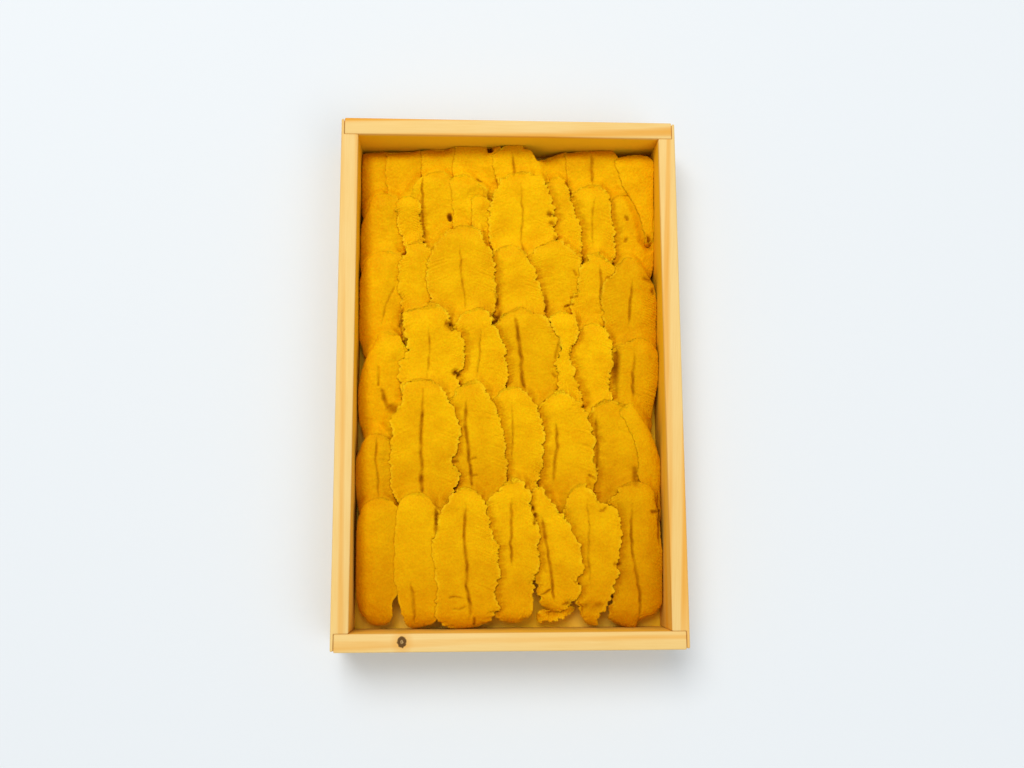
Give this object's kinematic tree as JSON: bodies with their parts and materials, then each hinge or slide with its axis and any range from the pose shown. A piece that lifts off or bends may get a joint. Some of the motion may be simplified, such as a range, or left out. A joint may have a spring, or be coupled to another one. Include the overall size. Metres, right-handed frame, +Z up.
{
  "type": "wooden tray of sea urchin roe",
  "caption": "Shallow open wooden tray filled with shingled rows of golden-yellow sea urchin tongues, as sold at a fish counter.",
  "frame": {"origin": "centre of the tray's underside", "axes": "+Z up out of the tray, +Y along its length to the end where the first row of tongues lies, +X across it to the right"},
  "size_m": [0.12, 0.186, 0.0244],
  "materials": {
    "wood": "plain sawn softwood, unvarnished",
    "roe": "moist, finely grained, golden yellow",
    "roe_deep": "moist, finely grained, deeper orange yellow"
  },
  "bodies": {
    "root": {"tray_floor": "wood", "tray_side_left": "wood", "tray_side_right": "wood", "tray_end_front": "wood", "tray_end_back": "wood", "tongue_front_1": "roe", "tongue_front_2": "roe", "tongue_front_3": "roe", "tongue_front_4": "roe", "tongue_front_5": "roe", "tongue_front_6": "roe", "tongue_front_7": "roe_deep", "tongue_front_8": "roe", "tongue_second_1": "roe", "tongue_second_2": "roe", "tongue_second_3": "roe", "tongue_second_4": "roe", "tongue_second_5": "roe", "tongue_second_6": "roe", "tongue_second_7": "roe_deep", "tongue_third_1": "roe", "tongue_third_2": "roe", "tongue_third_3": "roe", "tongue_third_4": "roe", "tongue_third_5": "roe", "tongue_third_6": "roe", "tongue_third_7": "roe_deep", "tongue_fourth_1": "roe", "tongue_fourth_2": "roe", "tongue_fourth_3": "roe", "tongue_fourth_4": "roe", "tongue_fourth_5": "roe", "tongue_fourth_6": "roe", "tongue_fourth_7": "roe_deep", "tongue_fifth_1": "roe", "tongue_fifth_2": "roe", "tongue_fifth_3": "roe", "tongue_fifth_4": "roe", "tongue_fifth_5": "roe", "tongue_fifth_6": "roe", "tongue_fifth_7": "roe", "tongue_fifth_8": "roe", "tongue_fifth_9": "roe_deep", "tongue_fifth_10": "roe_deep", "tongue_back_1": "roe", "tongue_back_2": "roe", "tongue_back_3": "roe", "tongue_back_4": "roe", "tongue_back_5": "roe", "tongue_back_6": "roe", "tongue_back_7": "roe"}
  },
  "joints": []
}
